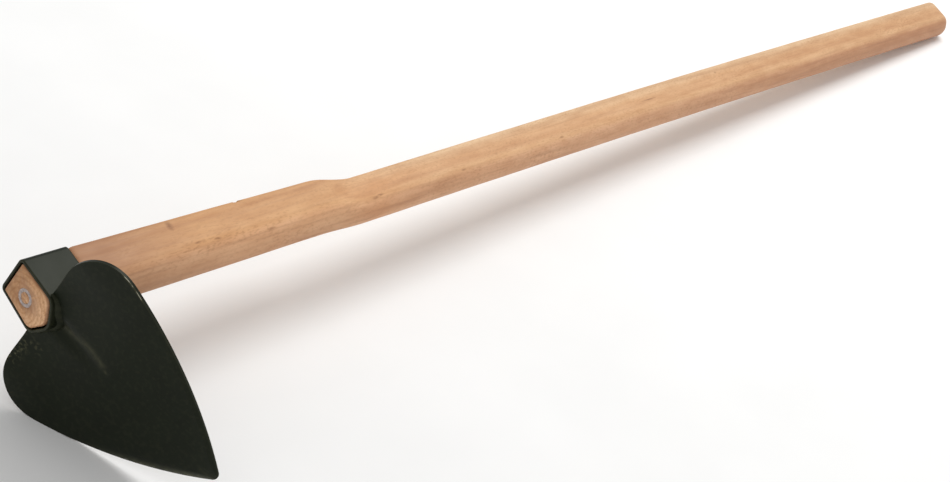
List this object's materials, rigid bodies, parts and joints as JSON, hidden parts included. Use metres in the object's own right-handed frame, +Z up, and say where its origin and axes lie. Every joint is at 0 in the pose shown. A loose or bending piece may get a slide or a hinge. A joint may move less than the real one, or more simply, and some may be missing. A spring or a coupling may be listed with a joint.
{
  "type": "warren hoe",
  "caption": "Long-handled garden hoe with a dished, bevelled heart-shaped blade welded under a bent steel eye, for drawing seed drills and weeding between rows.",
  "frame": {"origin": "on the ground, under the middle of the hoe's box as it lies on its grip end and on one long side of the blade", "axes": "+X runs along the handle from the eye to the grip, seen from above; the flat of the eye faces +Y and the tip of the blade points to -Y; +Z is up"},
  "size_m": [1.3012, 0.173, 0.1502],
  "materials": {
    "beech": "sanded and oiled beech",
    "bare_steel": "bare steel",
    "dark_paint": "satin olive-black paint",
    "painted_weld": "painted weld bead"
  },
  "bodies": {
    "root": {"handle": "beech", "ring_wedge": "bare_steel", "eye_collar": "dark_paint", "blade": "dark_paint", "front_weld": "painted_weld", "rear_weld": "painted_weld"}
  },
  "joints": []
}
